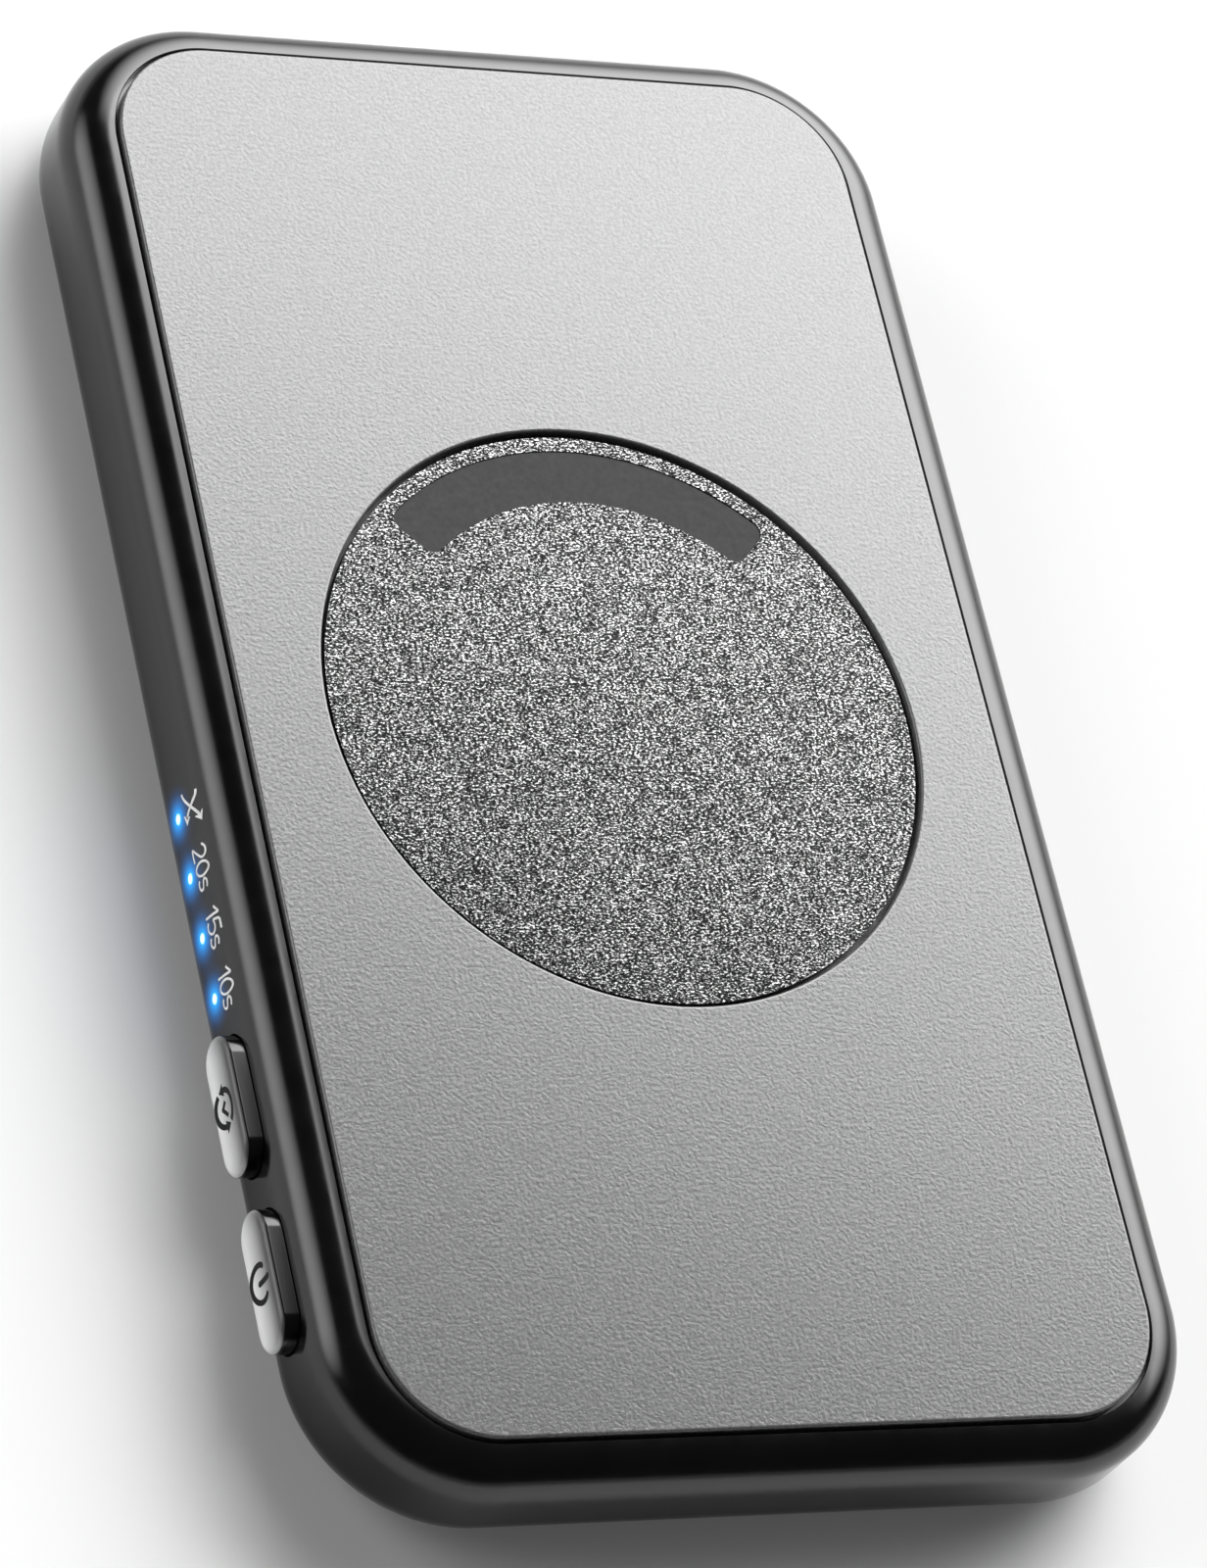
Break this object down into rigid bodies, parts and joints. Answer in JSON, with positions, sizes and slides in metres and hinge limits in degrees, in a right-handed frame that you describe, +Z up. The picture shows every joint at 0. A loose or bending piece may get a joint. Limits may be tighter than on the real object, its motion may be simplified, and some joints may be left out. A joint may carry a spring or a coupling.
{
  "type": "mouse jiggler",
  "caption": "Slim rounded desk device with a motor-driven turntable set in its top panel, side buttons and indicator lights, for keeping a computer mouse moving.",
  "frame": {"origin": "on the turntable's axis, at desk level under the feet", "axes": "+Z up out of the top panel, +Y along the length to the rear edge with the charging socket, +X to the side away from the buttons and lights"},
  "size_m": [0.0763, 0.13, 0.0121],
  "materials": {
    "case_gloss": "polished black, mirror-like",
    "cover_plastic": "fine spark-eroded black",
    "panel_metal": "silver-grey, finely pebbled satin",
    "adhesive": "clear double-sided film",
    "steel": "bright zinc",
    "table_plastic": "moulded black",
    "grip_film": "dark sparkling grain",
    "inlay_film": "flat dark grey print film",
    "nylon": "natural white",
    "brass": "turned",
    "motor_can": "drawn bright steel",
    "key_gloss": "silver face on black sides",
    "switch_plastic": "moulded black",
    "light_guide": "clear, lit blue",
    "led_lens": "lit blue",
    "circuit_board": "green solder mask",
    "chip_plastic": "black epoxy",
    "connector_plastic": "natural cream",
    "wire_sleeve": "silicone sleeve",
    "socket_shell": "plated, drawn",
    "battery_foil": "aluminised pouch",
    "foam_tape": "thin foam",
    "foot_rubber": "soft matt black"
  },
  "bodies": {
    "case": {"upper_case": "case_gloss", "bottom_cover": "cover_plastic", "top_panel": "panel_metal", "panel_adhesive": "adhesive", "cover_screws": "steel", "axle_pin": "steel", "thrust_washer": "nylon", "reduction_pin": "steel", "drive_motor": "motor_can", "motor_end_cap": "nylon", "motor_strap": "steel", "strap_screws": "steel", "timer_switch": "switch_plastic", "power_switch": "switch_plastic", "led_light_guide": "light_guide", "indicator_leds": "led_lens", "main_board": "circuit_board", "board_screws": "steel", "controller_chip": "chip_plastic", "driver_chip": "chip_plastic", "board_passives": "chip_plastic", "board_sockets": "connector_plastic", "motor_leads": "wire_sleeve", "power_leads": "wire_sleeve", "battery_leads": "wire_sleeve", "usb_board": "circuit_board", "usb_board_screws": "steel", "usb_board_sockets": "connector_plastic", "usb_socket": "socket_shell", "usb_tongue": "chip_plastic", "charge_chip": "chip_plastic", "battery_cell": "battery_foil", "battery_tape": "foam_tape", "foot_front_left": "foot_rubber", "foot_front_right": "foot_rubber", "foot_rear_left": "foot_rubber", "foot_rear_right": "foot_rubber"},
    "turntable": {"turntable": "table_plastic", "grip_sheet": "grip_film", "arc_inlay": "inlay_film"},
    "reduction_gear": {"reduction_gear": "nylon"},
    "worm": {"worm": "brass", "motor_shaft": "steel"},
    "timer_button": {"timer_button": "key_gloss", "timer_switch_stem": "switch_plastic"},
    "power_button": {"power_button": "key_gloss", "power_switch_stem": "switch_plastic"}
  },
  "joints": [
    {"name": "turntable_spin", "type": "hinge", "parent": "case", "child": "turntable", "pos_m": [0, 0, 0], "axis": [0, 0, 1], "continuous": true},
    {"name": "reduction_spin", "type": "hinge", "parent": "case", "child": "reduction_gear", "pos_m": [0, -0.02345, 0], "axis": [0, 0, 1], "continuous": true},
    {"name": "worm_spin", "type": "hinge", "parent": "case", "child": "worm", "pos_m": [0, -0.033, 0.0064], "axis": [1, 0, 0], "continuous": true},
    {"name": "timer_button_press", "type": "slide", "parent": "case", "child": "timer_button", "axis": [1, 0, 0], "range_m": [0, 0.0003], "stiffness_N_per_m": 3000},
    {"name": "power_button_press", "type": "slide", "parent": "case", "child": "power_button", "axis": [1, 0, 0], "range_m": [0, 0.0003], "stiffness_N_per_m": 3000}
  ],
  "couplings": [
    {"joint": "reduction_spin", "follows": "turntable_spin", "ratio": -5.5},
    {"joint": "worm_spin", "follows": "turntable_spin", "ratio": 165}
  ]
}
